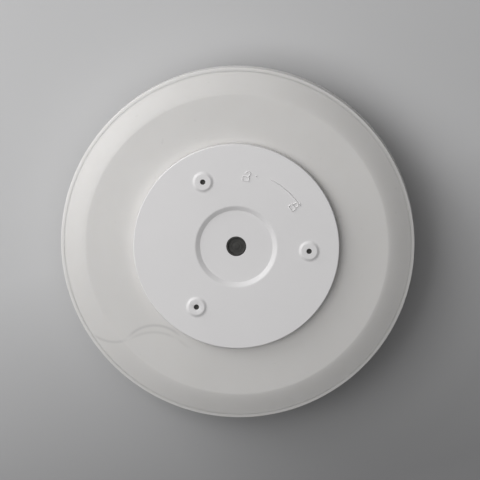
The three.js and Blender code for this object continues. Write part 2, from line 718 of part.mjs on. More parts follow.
function terminalButton(x) {
  const bottom = TERMINAL_LOW[2] - BUTTON_PROUD;
  const top = TERMINAL_LOW[2] + 6 - BUTTON_TRAVEL - 2 * CLEARANCE;
  const body = block(
    [x - BUTTON_HALF, BUTTON_Y - BUTTON_HALF, bottom], [x + BUTTON_HALF, BUTTON_Y + BUTTON_HALF, top],
  );
  const slot = block([x - 1.6, BUTTON_Y - 0.4, bottom - 1], [x + 1.6, BUTTON_Y + 0.4, bottom + 0.6]);
  return body.subtract(slot);
}

function cordClamp() {
  const low = CLAMP_TOP_Z - 3;
  const bar = block([-12.5, CLAMP_Y - 3.5, low], [12.5, CLAMP_Y + 3.5, CLAMP_TOP_Z]);
  const saddle = new THREE.CylinderGeometry(5, 5, 9, 20).translate(0, CLAMP_Y, CLAMP_TOP_Z + 3.4);
  const holes = [-CLAMP_X, CLAMP_X].map((x) => {
    return rod(1.4 + CLEARANCE, low - 1, CLAMP_TOP_Z + 1, [x, CLAMP_Y], TINY_ROUND);
  });
  return cut(bar, solid(saddle), ...holes);
}

// ---- driver components ----

function transformerCore() {
  const frame = block([-9, -32, -43.4], [13, -24, PART_Z]);
  const windows = [[-5.5, -0.8], [4.8, 9.5]].map(([from, to]) => {
    return block([from, -33, -40.4], [to, -23, PART_Z - 3]);
  });
  return cut(frame, ...windows);
}

// Winding round the core's middle leg, standing out on both sides of the core.
function transformerCoil() {
  const winding = block([-5.2, -36, -40.1], [9.2, -20, PART_Z - 3.3]);
  const legHole = block([-1.1, -32.3, -41], [5.1, -23.7, PART_Z]);
  return cut(winding, legHole);
}

function canCapacitor(radius, height, place) {
  const bottom = PART_Z - height;
  const can = rod(radius, bottom, PART_Z, place, 18);
  const long = radius * 0.6;
  const vents = [[long, 0.2], [0.2, long]].map(([halfX, halfY]) => block(
    [place[0] - halfX, place[1] - halfY, bottom - 1],
    [place[0] + halfX, place[1] + halfY, bottom + 0.3],
  ));
  return cut(can, ...vents);
}

function filterChoke() {
  const ring = new THREE.TorusGeometry(4, 2, 8, 18);
  const foot = block([3, -14.5, PART_Z - 3], [9, -10.5, PART_Z]);
  return solid(ring.translate(6, -12.5, PART_Z - 4)).add(foot);
}

function fuse() {
  const z = PART_Z - 3.2;
  const y = -10;
  return joined(
    rodAlongX(2.1, -16, -4, y, z, 12),
    rodAlongX(2.6, -17, -13, y, z, 12),
    rodAlongX(2.6, -7, -3, y, z, 12),
    block([-15.6, y - 0.4, z], [-14.4, y + 0.4, PART_Z]),
    block([-5.6, y - 0.4, z], [-4.4, y + 0.4, PART_Z]),
  );
}

function heatSink() {
  const plate = block([12.5, -20.2, -43.4], [26.5, -18.9, PART_Z]);
  const fins = [14, 17, 20, 23].map((x) => block([x, -22.1, -43.4], [x + 1, -20, PART_Z]));
  return joined(plate, ...fins);
}

// ---- earth connection ----

const TAG_Z = GEAR_Z - 0.8;         // underside of the ring tag
const TAG_BARREL_Z = TAG_Z - 0.9;

function earthTag() {
  const [x] = earthPlace;
  const ring = rod(4.2, TAG_Z, GEAR_Z, earthPlace, SMALL_ROUND);
  const tongue = block([x - 7.6, -1.4, TAG_Z], [x - 3.6, 1.4, GEAR_Z]);
  const barrel = rodAlongX(1.5, x - 7.6, x - 4.6, 0, TAG_BARREL_Z, TINY_ROUND);
  const hole = rod(EARTH_SHANK + CLEARANCE, TAG_Z - 1, GEAR_Z + 1, earthPlace, TINY_ROUND);
  return cut(joined(ring, tongue, barrel), hole);
}

// ---- assembly ----

addPart('chassis_plate', chassisPlate(), 'whitePaint');
addPart('cable_grommet', cableGrommet(), 'blackRubber');
bossAngles.forEach((angle, i) => {
  addPart(`screw_seal_${i + 1}`, screwSeal(polar(BOSS_CIRCLE, angle)), 'blackRubber');
});
addPart('gear_tray', gearTray(), 'whitePaint');
addPart('foam_gasket', foamGasket(), 'whiteFoam');
addPart('diffuser_rear_shell', rearShell(), 'milkyPlastic');
addPart('diffuser_front_dome', frontDome(), 'milkyPlastic');

boardAngles.forEach((middle, i) => {
  addPart(`led_board_${i + 1}`, ledBoard(middle), 'aluminiumBoard');
  addPart(`lens_cover_${i + 1}`, lensCover(middle), 'clearPlastic');
});
boardScrewPlaces().forEach((place, i) => {
  const screw = panScrew(place, BOARD_Z - CLEARANCE, 2.8, 1.8, BOARD_SCREW_SHANK, TRAY_FLOOR_Z + 3);
  addPart(`board_screw_${i + 1}`, screw, 'zincSteel');
});
connectorAngles.forEach((angle, i) => {
  addPart(`board_connector_${i + 1}`, boardConnector(angle), 'whitePlastic');
});
addPart('jumper_lead_1', lead(jumperRoute(104, 136), 2), 'redLead');
addPart('jumper_lead_2', lead(jumperRoute(224, 256), 2), 'redLead');

addPart('driver_base', driverBase(), 'whitePlastic');
addPart('driver_cover', driverCover(), 'whitePlastic');
coverScrewPlaces.forEach((place, i) => {
  const screw = panScrew(place, GEAR_Z - 2 - CLEARANCE, 2.8, 1.8, BOARD_SCREW_SHANK, TRAY_FLOOR_Z + 3);
  addPart(`cover_screw_${i + 1}`, screw, 'zincSteel');
});
addPart('terminal_lid', terminalLid(), 'whitePlastic');
addPart('lid_hinge_pin', rodAlongX(HINGE_PIN_RADIUS, -17.3, 17.3, HINGE_Y, HINGE_Z, 8), 'zincSteel');
addPart('terminal_block', terminalBlock(), 'greyPlastic');
['live', 'neutral', 'earth'].forEach((pole, i) => {
  addPart(`terminal_button_${pole}`, terminalButton(terminalX[i]), 'orangePlastic');
});
addPart('cord_clamp', cordClamp(), 'greyPlastic');
[-CLAMP_X, CLAMP_X].forEach((x, i) => {
  const screw = panScrew([x, CLAMP_Y], CLAMP_TOP_Z - 3 - CLEARANCE, 2.6, 1.8, 1.3, -29);
  addPart(`cord_clamp_screw_${i + 1}`, screw, 'zincSteel');
});

addPart('driver_board', driverCircuit(), 'greenBoard');
addPart('transformer_core', transformerCore(), 'ferrite');
addPart('transformer_coil', transformerCoil(), 'yellowTape');
addPart('bulk_capacitor', canCapacitor(6.3, 12.4, [-17, -27]), 'canSleeve');
addPart('output_capacitor', canCapacitor(5, 12, [21, -28]), 'canSleeve');
addPart('film_capacitor', block([-32, -19, -41.5], [-20, -13, PART_Z]), 'filmBox');
addPart('filter_choke', filterChoke(), 'copperWire');
addPart('bridge_rectifier', block([-11, -18, -39], [-2, -14.6, PART_Z]), 'blackEpoxy');
addPart('fuse', fuse(), 'glass');
addPart('power_transistor', block([13.8, -18.4, -42.5], [23.8, -14, PART_Z]), 'blackEpoxy');
addPart('heat_sink', heatSink(), 'zincSteel');
addPart('output_connector', block([24.5, -13.5, -37], [32.5, -8, PART_Z]), 'whitePlastic');

// Point in front of the first board's input connector, beside its middle line.
function inputPoint(radius, aside, z) {
  const [x, y] = polar(radius, connectorAngles[0]);
  const [acrossX, acrossY] = polar(aside, connectorAngles[0] + 90);
  return [x + acrossX, y + acrossY, z];
}

addPart('led_lead_positive', lead([
  [27, -7.6, -34], [27.2, -4, -34], [29.5, 4, -32.5], [36.5, 11, -30],
  inputPoint(46, 1.3, -28.8), inputPoint(51.1, 1.3, -28.7),
], 1.6), 'redLead');
addPart('led_lead_negative', lead([
  [30, -7.6, -34], [30.2, -4, -34], [32.5, 3, -32.5], [38.5, 8.4, -30],
  inputPoint(46, -1.3, -28.8), inputPoint(51.1, -1.3, -28.7),
], 1.6), 'blackLead');
addPart('lead_live', lead([
  [-15.4, 22, -33], [-18, 22, -33.2], [-21.5, 17, -34.5],
  [-22, 4, -34.5], [-22, -7.5, -34.3], [-22, -9, -31.1],
], 2), 'brownLead');
addPart('lead_neutral', lead([
  [-15.4, 27, -33], [-19, 27, -33.2], [-25, 20, -34.5],
  [-26, 4, -34.5], [-26, -7.5, -34.3], [-26, -9, -31.1],
], 2), 'blueLead');

const tagBarrelEnd = [earthPlace[0] - 7.6 - CLEARANCE, 0, TAG_BARREL_Z];
addPart('earth_lead', lead([
  [15.4, 24, -36], [19, 24, -36.4], [27, 18, -38], [34, 10, -37], [39.5, 3.5, -33],
  [42.6, 0.5, -28.5], [43.9, 0, TAG_BARREL_Z - 0.2], tagBarrelEnd,
], 2.2), 'greenLead');
addPart('earth_ring_tag', earthTag(), 'brass');
addPart('earth_screw', panScrew(earthPlace, TAG_Z - CLEARANCE, 3.6, 2.2, EARTH_SHANK, -20), 'brass');

export default lamp;
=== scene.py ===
"""Looks of a round LED ceiling light, seen from its back. Metres, +Z up towards the ceiling.

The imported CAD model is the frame. The stamped plate, the grommet and the two diffuser parts get fine
meshes with rounded edges; every other node keeps its shape and gets a procedural material.
"""
import json
import math

import bpy
from mathutils import Matrix, Vector


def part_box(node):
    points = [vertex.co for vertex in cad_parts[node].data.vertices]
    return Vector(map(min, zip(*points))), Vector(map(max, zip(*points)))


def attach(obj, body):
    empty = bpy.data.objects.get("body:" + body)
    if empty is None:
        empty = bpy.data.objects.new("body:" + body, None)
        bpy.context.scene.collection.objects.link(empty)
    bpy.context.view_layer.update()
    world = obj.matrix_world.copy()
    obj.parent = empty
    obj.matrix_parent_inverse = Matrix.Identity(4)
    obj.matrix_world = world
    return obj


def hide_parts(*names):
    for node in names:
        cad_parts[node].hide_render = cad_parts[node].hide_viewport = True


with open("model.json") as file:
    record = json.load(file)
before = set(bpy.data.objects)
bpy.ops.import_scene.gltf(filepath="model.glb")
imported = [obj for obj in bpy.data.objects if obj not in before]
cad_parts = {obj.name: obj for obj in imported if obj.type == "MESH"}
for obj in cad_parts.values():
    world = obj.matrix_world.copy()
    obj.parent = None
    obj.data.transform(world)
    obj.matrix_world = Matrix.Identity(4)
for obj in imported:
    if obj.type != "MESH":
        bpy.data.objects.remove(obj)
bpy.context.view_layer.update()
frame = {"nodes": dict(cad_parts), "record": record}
NODES = frame["nodes"]

MM = 0.001

# Sizes taken from the frame
PLATE_LOW, PLATE_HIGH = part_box("chassis_plate")
SHELL_LOW, SHELL_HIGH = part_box("diffuser_rear_shell")
DOME_LOW, DOME_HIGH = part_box("diffuser_front_dome")
RIM_RADIUS = DOME_HIGH.x / MM
PLATE_RADIUS = PLATE_HIGH.x / MM
SHELL_BACK_Z = SHELL_HIGH.z / MM
DOME_BOTTOM_Z = DOME_LOW.z / MM
SHELL_EDGE = SHELL_HIGH.x / MM

# The plate, in millimetres
BOSS_HEIGHT = 1.3
PLATE_Z = -BOSS_HEIGHT
SHEET = 1.0
SKIRT_Z = -9.2
DISH_RADIUS = 40.2
DISH_FLOOR_RADIUS = 35.8
DISH_Z = PLATE_Z - 2.6
CABLE_HOLE_RADIUS = 9.8
BOSS_CIRCLE = 72
BOSS_ANGLES = (0, 120, 240)
SCREW_HOLE_RADIUS = 2.6

# The diffuser, in millimetres
SHELL_WALL = 2.0
SHELL_OPENING = 95
NOTCH_RADIUS = 99.3
NOTCH_HALF_DEG = 13
NOTCH_ANGLES = (30, 150, 270)
SHELL_SEAT_RADIUS = 102             # the shell is level out to here
SHOULDER_RADIUS = 149
BACK_FALL = 1.5                     # how far the back slopes down to the shoulder
SHOULDER_Z = SHELL_BACK_Z - BACK_FALL
SEAM_Z = -20
FLANGE_Z = SEAM_Z - 6
DOME_EDGE_Z = -38
DOME_POWER = 2.5
LIP_INNER = RIM_RADIUS - 3.3
SEAM_EDGE = LIP_INNER - 0.01         # the shell reaches the lip all but a hair
SEAM_ROUNDING = 0.02
DOME_INNER = RIM_RADIUS - 2.2

ROUND_STEPS = 360          # segments round the lamp, one for each degree


# ---- mesh helpers ----

def mesh_object(name, points, faces):
    """Object from points in millimetres."""
    mesh = bpy.data.meshes.new(name)
    mesh.from_pydata([tuple(c * MM for c in p) for p in points], [], faces)
    mesh.update()
    mesh.shade_smooth()
    made = bpy.data.objects.new(name, mesh)
    bpy.context.scene.collection.objects.link(made)
    return made


def filleted(corners, steps=5):
    """Closed outline from corners (across, up, fillet radius), with each corner rounded by an arc."""
    outline = []
    count = len(corners)
    for i, (x, y, radius) in enumerate(corners):
        here = Vector((x, y))
        if radius == 0:
            outline.append(here)
            continue
        back = (Vector(corners[i - 1][:2]) - here).normalized()
        ahead = (Vector(corners[(i + 1) % count][:2]) - here).normalized()
        half = back.angle(ahead) / 2
        centre = here + (back + ahead).normalized() * radius / math.sin(half)
        start = here + back * radius / math.tan(half) - centre
        turn = start.angle_signed(here + ahead * radius / math.tan(half) - centre)
        for step in range(steps + 1):
            spin = Matrix.Rotation(-turn * step / steps, 2)
            outline.append(centre + spin @ start)
    return [(p.x, p.y) for p in outline]


def polar(radius, degrees):
    return radius * math.cos(math.radians(degrees)), radius * math.sin(math.radians(degrees))


def revolved(name, outline, steps=ROUND_STEPS, centre=(0, 0), radius_at=None):
    """Solid of revolution about Z of a closed outline of (radius, height)."""
    points = []
    for step in range(steps):
        angle = 360 * step / steps
        for radius, height in outline:
            shown = radius_at(radius, angle) if radius_at else radius
            x, y = polar(shown, angle)
            points.append((centre[0] + x, centre[1] + y, height))
    size = len(outline)
    faces = []
    for step in range(steps):
        following = (step + 1) % steps
        for i in range(size):
            j = (i + 1) % size
            faces.append((step * size + i, following * size + i, following * size + j, step * size + j))
    return mesh_object(name, points, faces)


def domed(name, outline, steps=ROUND_STEPS, centre=(0, 0)):
    """Solid of revolution whose outline starts and ends on the axis."""
    inner = outline[1:-1]
    size = len(inner)
    points = [(centre[0], centre[1], outline[0][1]), (centre[0], centre[1], outline[-1][1])]
    for step in range(steps):
        for radius, height in inner:
            x, y = polar(radius, 360 * step / steps)
            points.append((centre[0] + x, centre[1] + y, height))
    faces = []
    for step in range(steps):
        a = 2 + step * size
        b = 2 + (step + 1) % steps * size
        faces.append((0, b, a))
        faces.append((1, a + size - 1, b + size - 1))
        for i in range(size - 1):
            faces.append((a + i, b + i, b + i + 1, a + i + 1))
    return mesh_object(name, points, faces)


def face_outward(made):
    """Turn every face outward."""
    bpy.context.view_layer.objects.active = made
    made.select_set(True)
    bpy.ops.object.mode_set(mode="EDIT")
    bpy.ops.mesh.select_all(action="SELECT")
    bpy.ops.mesh.normals_make_consistent(inside=False)
    bpy.ops.object.mode_set(mode="OBJECT")
    made.select_set(False)


def combine(base, others, operation):
    """Join or cut closed meshes, and keep the result in base."""
    face_outward(base)
    for other in others:
        face_outward(other)
        tool = base.modifiers.new("combine", "BOOLEAN")
        tool.operation = operation
        tool.solver = "MANIFOLD"
        tool.object = other
        bpy.context.view_layer.objects.active = base
        bpy.ops.object.modifier_apply(modifier=tool.name)
        bpy.data.objects.remove(other)


def finish_piece(piece, body, node, material):
    """Even shading, then the body, the CAD node it stands for and the material."""
    face_outward(piece)
    piece.data.shade_smooth()
    even = piece.modifiers.new("even shading", "WEIGHTED_NORMAL")
    even.keep_sharp = False
    even.weight = 100
    piece.data.materials.clear()
    piece.data.materials.append(material)
    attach(piece, body)
    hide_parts(node)


# ---- material helpers ----

class Finish:
    """A Principled material and short calls that add its procedural detail, in object coordinates."""

    def __init__(self, name, color, roughness, metallic=0.0, specular=0.5):
        self.material = bpy.data.materials.new(name)
        self.material.use_nodes = True
        self.tree = self.material.node_tree
        self.shader = self.tree.nodes["Principled BSDF"]
        self.color = color
        self.roughness = roughness
        self.set("Base Color", (*color, 1))
        self.set("Roughness", roughness)
        self.set("Metallic", metallic)
        self.set("Specular IOR Level", specular)
        self.place = self.tree.nodes.new("ShaderNodeTexCoord").outputs["Object"]

    def set(self, socket, value):
        self.shader.inputs[socket].default_value = value

    def link(self, source, target):
        self.tree.links.new(source, target)

    def noise(self, scale, detail=3.0, stretch=None):
        """Noise with a given number of grains per metre."""
        node = self.tree.nodes.new("ShaderNodeTexNoise")
        node.inputs["Scale"].default_value = scale
        node.inputs["Detail"].default_value = detail
        place = self.place
        if stretch:
            mapping = self.tree.nodes.new("ShaderNodeMapping")
            mapping.inputs["Scale"].default_value = stretch
            self.link(place, mapping.inputs["Vector"])
            place = mapping.outputs["Vector"]
        self.link(place, node.inputs["Vector"])
        return node.outputs["Fac"]

    def ranged(self, source, low, high, start=0.3, end=0.7):
        node = self.tree.nodes.new("ShaderNodeMapRange")
        node.inputs["From Min"].default_value = start
        node.inputs["From Max"].default_value = end
        node.inputs["To Min"].default_value = low
        node.inputs["To Max"].default_value = high
        self.link(source, node.inputs["Value"])
        return node.outputs["Result"]

    def mixed(self, factor, first, second):
        """Colour between two, which may be colours or node outputs."""
        node = self.tree.nodes.new("ShaderNodeMix")
        node.data_type = "RGBA"
        self.link(factor, node.inputs["Factor"])
        for socket, value in ((node.inputs[6], first), (node.inputs[7], second)):
            if isinstance(value, tuple):
                socket.default_value = (*value, 1)
            else:
                self.link(value, socket)
        return node.outputs[2]

    def math(self, operation, first, second):
        node = self.tree.nodes.new("ShaderNodeMath")
        node.operation = operation
        for socket, value in zip(node.inputs, (first, second)):
            if isinstance(value, (int, float)):
                socket.default_value = value
            else:
                self.link(value, socket)
        return node.outputs[0]

    def coordinate(self, axis):
        node = self.tree.nodes.new("ShaderNodeSeparateXYZ")
        self.link(self.place, node.inputs[0])
        return node.outputs[axis]

    def mottle(self, scale, amount, stretch=None):
        """Soft lighter and darker patches."""
        factor = self.ranged(self.noise(scale, stretch=stretch), 0, 1)
        darker = tuple(c * (1 - amount) for c in self.color)
        lighter = tuple(min(1, c * (1 + amount)) for c in self.color)
        color = self.mixed(factor, darker, lighter)
        self.link(color, self.shader.inputs["Base Color"])
        return color

    def uneven_gloss(self, scale, amount, stretch=None):
        low = self.roughness - amount
        high = self.roughness + amount
        wavy = self.ranged(self.noise(scale, stretch=stretch), low, high)
        self.link(wavy, self.shader.inputs["Roughness"])

    def grain(self, scale, depth, stretch=None, strength=1.0):
        """Bump whose depth is in metres."""
        node = self.tree.nodes.new("ShaderNodeBump")
        node.inputs["Strength"].default_value = strength
        node.inputs["Distance"].default_value = depth
        self.link(self.noise(scale, stretch=stretch), node.inputs["Height"])
        self.link(node.outputs["Normal"], self.shader.inputs["Normal"])

    def paint_where(self, mask, under, color):
        """Second colour where the mask is 1."""
        painted = self.mixed(mask, under, color)
        self.link(painted, self.shader.inputs["Base Color"])
        return painted


# ---- materials of what shows ----

def powder_coat():
    finish = Finish("powder_coat", (0.811, 0.799, 0.802), 0.42, specular=0.45)
    finish.mottle(14, 0.012)
    finish.uneven_gloss(300, 0.05)
    finish.grain(1100, 0.00003)
    return finish.material


# Faint darker arcs in the rear shell's colour: centre and radius of each arc in
# millimetres, the angles about that centre between which it shows, and its strength
DARK_ARCS = (
    (-75, -120, 35, 45, 145, 1.0),
    (-75, -135, 43, 60, 130, 0.6),
    (-120, -70, 35, 235, 300, 0.8),
    (-20, -60, 50, 220, 250, 0.4),
)
DARK_ARC_HALF_WIDTH = 2.1 * MM
DARK_ARC_FADE_DEG = 14


def arc_mask(finish, x, y, radius, start_deg, end_deg):
    """1 on an arc and fading to 0 beside it and at its ends."""
    across = finish.math("SUBTRACT", finish.coordinate(0), x * MM)
    up = finish.math("SUBTRACT", finish.coordinate(1), y * MM)
    squares = finish.math("ADD", finish.math("MULTIPLY", across, across), finish.math("MULTIPLY", up, up))
    off_arc = finish.math("SUBTRACT", finish.math("SQRT", squares, 0), radius * MM)
    distance = finish.math("ABSOLUTE", off_arc, 0)
    line = finish.ranged(distance, 1, 0, 0, DARK_ARC_HALF_WIDTH)
    # the angle is counted from the arc's middle, so that it never wraps round
    middle = (start_deg + end_deg) / 2
    axis_x, axis_y = polar(1, middle)
    along = finish.math("ADD", finish.math("MULTIPLY", across, axis_x), finish.math("MULTIPLY", up, axis_y))
    turned = finish.math("MULTIPLY", across, -axis_y)
    beside = finish.math("ADD", finish.math("MULTIPLY", up, axis_x), turned)
    angle = finish.math("ABSOLUTE", finish.math("ARCTAN2", beside, along), 0)
    half = math.radians((end_deg - start_deg) / 2)
    ends = finish.ranged(angle, 1, 0, half - math.radians(DARK_ARC_FADE_DEG), half)
    return finish.math("MULTIPLY", line, ends)


OPAL_COLOR = (0.740, 0.728, 0.714)
OPAL_SPECK_AND_ARC_COLOR = (0.62, 0.61, 0.60)


def opal_finish(name, roughness, gloss_range):
    """Milky plastic that lets light through, with soft clouds; also returns the clouds' colour."""
    finish = Finish(name, OPAL_COLOR, roughness, specular=0.4)
    clouds = finish.mottle(9, 0.02)
    finish.uneven_gloss(40, gloss_range)
    finish.grain(500, 0.00001)
    finish.set("Subsurface Weight", 1.0)
    finish.set("Subsurface Radius", (0.0020, 0.0020, 0.0021))
    finish.set("Subsurface Scale", 1.0)
    return finish, clouds


def opal_plastic():
    """Plastic of the rear shell, with sparse specks and a few faint darker arcs."""
    finish, clouds = opal_finish("opal_plastic", 0.40, 0.06)
    marks = 0
    for *arc, strength in DARK_ARCS:
        marks = finish.math("MAXIMUM", marks, finish.math("MULTIPLY", arc_mask(finish, *arc), strength))
    specks = finish.ranged(finish.noise(160, detail=0), 0, 0.3, 0.82, 0.88)
    specks_and_arcs = finish.math("MAXIMUM", marks, specks)
    finish.paint_where(specks_and_arcs, clouds, OPAL_SPECK_AND_ARC_COLOR)
    return finish.material


def opal_dome():
    """The same plastic without the marks, as the dome is smoother."""
    finish, _ = opal_finish("opal_dome", 0.34, 0.05)
    return finish.material


def dark_rubber():
    finish = Finish("dark_rubber", (0.056, 0.055, 0.052), 0.7, specular=0.3)
    finish.mottle(200, 0.2)
    finish.grain(1500, 0.00003)
    return finish.material


# ---- stamped plate ----

def plate_sheet():
    under = PLATE_Z - SHEET
    floor_under = DISH_Z - SHEET
    return revolved("chassis_plate_fine", filleted([
        (CABLE_HOLE_RADIUS, DISH_Z, 0.3),
        (DISH_FLOOR_RADIUS, DISH_Z, 1.0),
        (DISH_RADIUS, PLATE_Z, 3.5),
        (PLATE_RADIUS, PLATE_Z, 0.8),
        (PLATE_RADIUS, SKIRT_Z, 0.3),
        (PLATE_RADIUS - SHEET, SKIRT_Z, 0.3),
        (PLATE_RADIUS - SHEET, under, 0.4),
        (DISH_RADIUS + 0.3, under, 2.5),
        (DISH_FLOOR_RADIUS + 0.3, floor_under, 2.0),
        (CABLE_HOLE_RADIUS, floor_under, 0.3),
    ]))


BOSS_SIDES = 72
BOSS_TOP_RADIUS = 7.8
BOSS_BASE_RADIUS = 10.0
BOSS_FLARE = 0.6                    # how far the fillet at the foot of a boss runs out
HIDDEN_STEP = 0.003                 # keeps the flare's edge just clear of the sheet's face


def boss_outside(centre):
    foot = BOSS_BASE_RADIUS + BOSS_FLARE
    corners = [
        (foot, PLATE_Z + HIDDEN_STEP, 0),
        (BOSS_BASE_RADIUS, PLATE_Z + HIDDEN_STEP, 1.2),
        (BOSS_TOP_RADIUS, 0, 1.4),
    ]
    arcs = filleted([*corners, (0, 0, 0), (0, PLATE_Z - 0.6, 0), (foot, PLATE_Z - 0.6, 0)])
    axis_start = arcs.index((0, 0))
    outline = arcs[axis_start + 1:] + arcs[:axis_start + 1]
    return domed("boss", outline, BOSS_SIDES, centre)


def boss_hollow(centre):
    hollow_top = -SHEET
    outline = [
        (0, PLATE_Z - SHEET - 0.3),
        (BOSS_BASE_RADIUS - 0.6, PLATE_Z - SHEET - 0.3),
        (BOSS_BASE_RADIUS - 0.6, PLATE_Z - SHEET),
        (BOSS_TOP_RADIUS - 1.4, hollow_top),
        (SCREW_HOLE_RADIUS, hollow_top),
        (SCREW_HOLE_RADIUS, -0.25),
        (SCREW_HOLE_RADIUS + 0.25, 0),
        (SCREW_HOLE_RADIUS + 0.5, 0.3),
        (0, 0.3),
    ]
    return domed("boss_hollow", outline, BOSS_SIDES, centre)


# Marks that show which way the diffuser turns, pressed up from the sheet
MARK_RADIUS = 75
MARK_START_DEG = 67
MARK_END_DEG = 37
MARK_WIDTH = 0.95
MARK_HEIGHT = 0.75
MARK_ROOT = 0.5                     # how far a mark reaches into the sheet


def bead(name, path, width=MARK_WIDTH, height=MARK_HEIGHT, surface=None, root=MARK_ROOT):
    """Low rounded ridge along a path of (x, y), lying on a surface z(x, y)."""
    level = surface or (lambda x, y: PLATE_Z)
    across = 8
    points = []
    last = len(path) - 1
    for i, (x, y) in enumerate(path):
        ahead = Vector(path[min(i + 1, last)]) - Vector(path[max(i - 1, 0)])
        side = Vector((-ahead.y, ahead.x)).normalized()
        tip = min(i, last - i) / 2
        fade = min(1, math.sqrt(tip)) if tip else 0.05
        ring = []
        for k in range(across + 1):
            share = 2 * k / across - 1
            offset = share * width / 2 * max(fade, 0.25)
            px, py = x + side.x * offset, y + side.y * offset
            crown = height * fade * (0.5 + 0.5 * math.cos(math.pi * share))
            ring.append((px, py, level(px, py) + HIDDEN_STEP + crown))
        ring += [(px, py, level(px, py) - root) for px, py, _ in (ring[-1], ring[0])]
        points += ring
    size = across + 3
    faces = [tuple(range(size)), tuple(reversed(range(last * size, (last + 1) * size)))]
    for i in range(last):
        for k in range(size):
            j = (k + 1) % size
            faces.append((i * size + k, i * size + j, (i + 1) * size + j, (i + 1) * size + k))
    return mesh_object(name, points, faces)


def sampled(ends, step=0.5):
    """Points along straight stretches between the given ones, a step apart."""
    path = []
    for start, end in zip(ends, ends[1:]):
        start, end = Vector(start), Vector(end)
        count = max(1, round((end - start).length / step))
        path += [tuple(start.lerp(end, i / count)) for i in range(count)]
    return path + [tuple(ends[-1])]


def arc_path(radius, start_deg, end_deg, centre=(0, 0), step=0.6):
    length = abs(math.radians(end_deg - start_deg)) * radius
    count = max(3, round(length / step))
    path = []
    for i in range(count + 1):
        x, y = polar(radius, start_deg + (end_deg - start_deg) * i / count)
        path.append((centre[0] + x, centre[1] + y))
    return path


def placed(path, radius, degrees):
    """A path drawn upright at the origin, moved to a place on the plate with its top outward."""
    turn = Matrix.Rotation(math.radians(degrees - 90), 2)
    centre = Vector(polar(radius, degrees))
    return [tuple(centre + turn @ Vector(p)) for p in path]


def arrow_head():
    tip_x, tip_y = polar(MARK_RADIUS, MARK_END_DEG)
    turn = Matrix.Rotation(math.radians(MARK_END_DEG), 2)
    barbs = [(-1.9, 2.2), (0, -1.2), (1.9, 2.2)]
    return [tuple(Vector((tip_x, tip_y)) + turn @ Vector(p)) for p in barbs]


def padlock(radius, degrees, shackle_turn):
    """Outline of a padlock with its shackle shut, or swung aside."""
    body = [(-3.1, 0), (-3.1, 1.5), (3.1, 1.5), (3.1, -2.9), (-3.1, -2.9), (-3.1, 0)]
    bow = [(-2.1, 1.5), *arc_path(2.1, 180, 0, (0, 4.0), 0.4), (2.1, 1.5)]
    hinge = Vector((2.1, 1.5))
    swing = Matrix.Rotation(math.radians(shackle_turn), 2)
    bow = [tuple(hinge + swing @ (Vector(point) - hinge)) for point in bow]
    return [placed(sampled(body), radius, degrees), placed(sampled(bow), radius, degrees)]


def mark_paths():
    return [
        arc_path(MARK_RADIUS, MARK_START_DEG, MARK_END_DEG),
        sampled(arrow_head()),
        arc_path(0.45, 0, 330, polar(73, 77), 0.3),
        *padlock(69, 85, -35),
        *padlock(68.5, 38.5, 0),
    ]


def build_plate(material):
    plate = plate_sheet()
    centres = [polar(BOSS_CIRCLE, angle) for angle in BOSS_ANGLES]
    beads = [bead("mark", path) for path in mark_paths()]
    combine(plate, [boss_outside(centre) for centre in centres] + beads, "UNION")
    combine(plate, [boss_hollow(centre) for centre in centres], "DIFFERENCE")
    finish_piece(plate, "chassis", "chassis_plate", material)


def build_grommet(material):
    """Blind grommet, whose closed membrane has a raised ring and a shallow dimple."""
    top = DISH_Z - 0.4
    flange = DISH_Z - SHEET - 0.3
    outer = CABLE_HOLE_RADIUS - 0.3
    membrane = top - 1.4
    corners = filleted([
        (0, membrane - 0.8, 0),
        (7.4, membrane - 0.8, 0.3),
        (7.6, flange - 1.7, 0.1),
        (12.5, flange - 1.7, 0.3),
        (12.5, flange, 0.3),
        (outer, flange, 0.1),
        (outer, top, 0.4),
        (8.2, top, 0.4),
        (7.8, membrane, 0.4),
        (5.4, membrane, 0.2),
        (5.0, membrane + 0.25, 0.2),
        (4.6, membrane, 0.2),
        (3.2, membrane, 0.2),
        (2.8, membrane + 0.3, 0.2),
        (1.2, membrane + 0.3, 0.2),
        (0, membrane, 0),
    ], 4)
    piece = domed("cable_grommet_fine", corners, 96)
    finish_piece(piece, "chassis", "cable_grommet", material)


def build_screw_seals(material):
    """Rubber disc in each boss, with a rounded pilot dimple."""
    for i, angle in enumerate(BOSS_ANGLES, 1):
        top = -SHEET - 0.3
        corners = filleted([
            (0, top - 1, 0),
            (6, top - 1, 0.2),
            (6, top, 0.2),
            (1.5, top, 0.3),
            (0.9, top - 0.5, 0.2),
            (0, top - 0.5, 0),
        ], 4)
        piece = domed(f"screw_seal_{i}_fine", corners, 48, polar(BOSS_CIRCLE, angle))
        finish_piece(piece, "chassis", f"screw_seal_{i}", material)


# ---- diffuser ----

def bezier(points, steps):
    """Points along a cubic curve."""
    a, b, c, d = (Vector(p) for p in points)
    path = []
    for i in range(steps + 1):
        t = i / steps
        p = a * (1 - t) ** 3 + b * 3 * t * (1 - t) ** 2 + c * 3 * t * t * (1 - t) + d * t ** 3
        path.append((p.x, p.y))
    return path


def shoulder(inset, steps=24):
    return bezier([
        (SHOULDER_RADIUS - 0.3 * inset, SHOULDER_Z - inset),
        (SHOULDER_RADIUS + 5 - 0.4 * inset, SHOULDER_Z - 0.5 - inset),
        (SHELL_EDGE - 7 - 0.6 * inset, SHOULDER_Z - 5.2 - inset),
        (SHELL_EDGE - inset, SEAM_Z - 0.4 * inset),
    ], steps)


